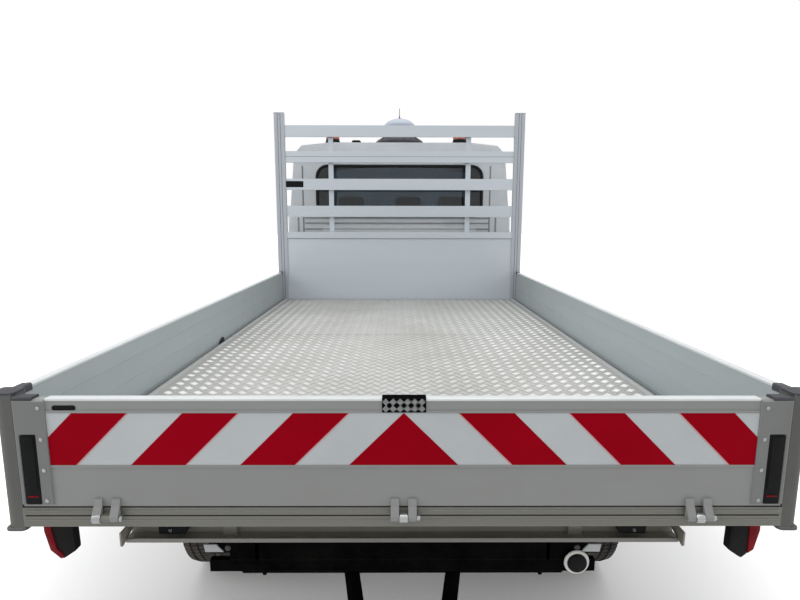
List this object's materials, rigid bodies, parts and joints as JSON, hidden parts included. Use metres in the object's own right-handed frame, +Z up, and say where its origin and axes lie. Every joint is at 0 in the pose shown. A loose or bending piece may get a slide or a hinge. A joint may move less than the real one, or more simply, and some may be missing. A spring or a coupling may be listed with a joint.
{
  "type": "dropside flatbed truck",
  "caption": "Light chassis cab truck with an aluminium dropside body: folding side and tail boards, slatted headboard, two-door cab, steered front wheels and a tow hitch.",
  "frame": {"origin": "on the ground under the middle of the whole truck", "axes": "+Y forward towards the bumper, +X to the truck's right, +Z up"},
  "size_m": [2.376, 5.925, 2.652],
  "materials": {
    "white_paint": "gloss",
    "black_steel": "satin",
    "aluminium": "satin",
    "rubber": "matte",
    "tyre": "matte",
    "rim": "satin",
    "glass": "gloss",
    "dark_plastic": "matte",
    "lamp": "gloss",
    "fabric": "matte",
    "amber": "gloss",
    "iron": "matte"
  },
  "bodies": {
    "chassis": {"frame_rails": "black_steel", "front_subframe": "black_steel", "rear_axle": "iron", "leaf_springs": "black_steel", "engine_block": "iron", "fuel_tank": "dark_plastic", "exhaust": "iron", "cab_shell": "white_paint", "cab_glass": "glass", "front_wings": "white_paint", "front_bumper": "dark_plastic", "grille": "dark_plastic", "headlamps": "lamp", "dashboard": "dark_plastic", "seats": "fabric", "roof_fittings": "amber", "bed_subframe": "black_steel", "bed_floor": "aluminium", "edge_rails": "aluminium", "headboard_posts": "aluminium", "headboard_boards": "aluminium", "corner_posts": "aluminium", "light_bar": "aluminium", "tow_hitch": "black_steel", "mudguards": "rubber"},
    "tailboard": {"tailboard": "aluminium"},
    "dropside_left": {"dropside_left": "aluminium"},
    "dropside_right": {"dropside_right": "aluminium"},
    "door_left": {"door_left": "white_paint", "door_glass_left": "glass"},
    "door_right": {"door_right": "white_paint", "door_glass_right": "glass"},
    "bonnet": {"bonnet": "white_paint"},
    "steering_wheel": {"steering_wheel": "dark_plastic"},
    "knuckle_left": {"knuckle_left": "iron"},
    "knuckle_right": {"knuckle_right": "iron"},
    "front_wheel_left": {"front_tyre_left": "tyre", "front_rim_left": "rim"},
    "front_wheel_right": {"front_tyre_right": "tyre", "front_rim_right": "rim"},
    "rear_wheel_left": {"rear_tyre_left": "tyre", "rear_rim_left": "rim"},
    "rear_wheel_right": {"rear_tyre_right": "tyre", "rear_rim_right": "rim"}
  },
  "joints": [
    {"name": "tailboard_hinge", "type": "hinge", "parent": "chassis", "child": "tailboard", "pos_m": [0, -2.8765, 0.872], "axis": [1, 0, 0], "range_deg": [0, 178]},
    {"name": "dropside_left_hinge", "type": "hinge", "parent": "chassis", "child": "dropside_left", "pos_m": [-1.069, -1.2, 0.872], "axis": [0, -1, 0], "range_deg": [0, 178]},
    {"name": "dropside_right_hinge", "type": "hinge", "parent": "chassis", "child": "dropside_right", "pos_m": [1.069, -1.2, 0.872], "axis": [0, 1, 0], "range_deg": [0, 178]},
    {"name": "door_left_hinge", "type": "hinge", "parent": "chassis", "child": "door_left", "pos_m": [-0.994, 1.6805, 1.045], "axis": [0, 0, -1], "range_deg": [0, 70]},
    {"name": "door_right_hinge", "type": "hinge", "parent": "chassis", "child": "door_right", "pos_m": [0.994, 1.6805, 1.045], "axis": [0, 0, 1], "range_deg": [0, 70]},
    {"name": "bonnet_hinge", "type": "hinge", "parent": "chassis", "child": "bonnet", "pos_m": [0, 2.2985, 1.3], "axis": [1, 0, 0], "range_deg": [0, 55]},
    {"name": "steer_left", "type": "hinge", "parent": "chassis", "child": "knuckle_left", "pos_m": [-0.78943, 1.9625, 0.35], "axis": [0.1977, 0, 0.9803], "range_deg": [-35, 35]},
    {"name": "steer_right", "type": "hinge", "parent": "chassis", "child": "knuckle_right", "pos_m": [0.78943, 1.9625, 0.35], "axis": [-0.1977, 0, 0.9803], "range_deg": [-35, 35]},
    {"name": "steering_wheel_turn", "type": "hinge", "parent": "chassis", "child": "steering_wheel", "pos_m": [-0.45, 1.8025, 1.11], "axis": [0, -0.766, 0.6428], "range_deg": [-540, 540]},
    {"name": "front_left_wheel_spin", "type": "hinge", "parent": "knuckle_left", "child": "front_wheel_left", "pos_m": [-0.86, 1.9625, 0.35], "axis": [1, 0, 0], "continuous": true},
    {"name": "front_right_wheel_spin", "type": "hinge", "parent": "knuckle_right", "child": "front_wheel_right", "pos_m": [0.86, 1.9625, 0.35], "axis": [1, 0, 0], "continuous": true},
    {"name": "rear_left_wheel_spin", "type": "hinge", "parent": "chassis", "child": "rear_wheel_left", "pos_m": [-0.86, -1.7025, 0.35], "axis": [1, 0, 0], "continuous": true},
    {"name": "rear_right_wheel_spin", "type": "hinge", "parent": "chassis", "child": "rear_wheel_right", "pos_m": [0.86, -1.7025, 0.35], "axis": [1, 0, 0], "continuous": true}
  ],
  "couplings": [
    {"joint": "steer_right", "follows": "steer_left", "ratio": 1},
    {"joint": "steering_wheel_turn", "follows": "steer_left", "ratio": 15.4}
  ]
}
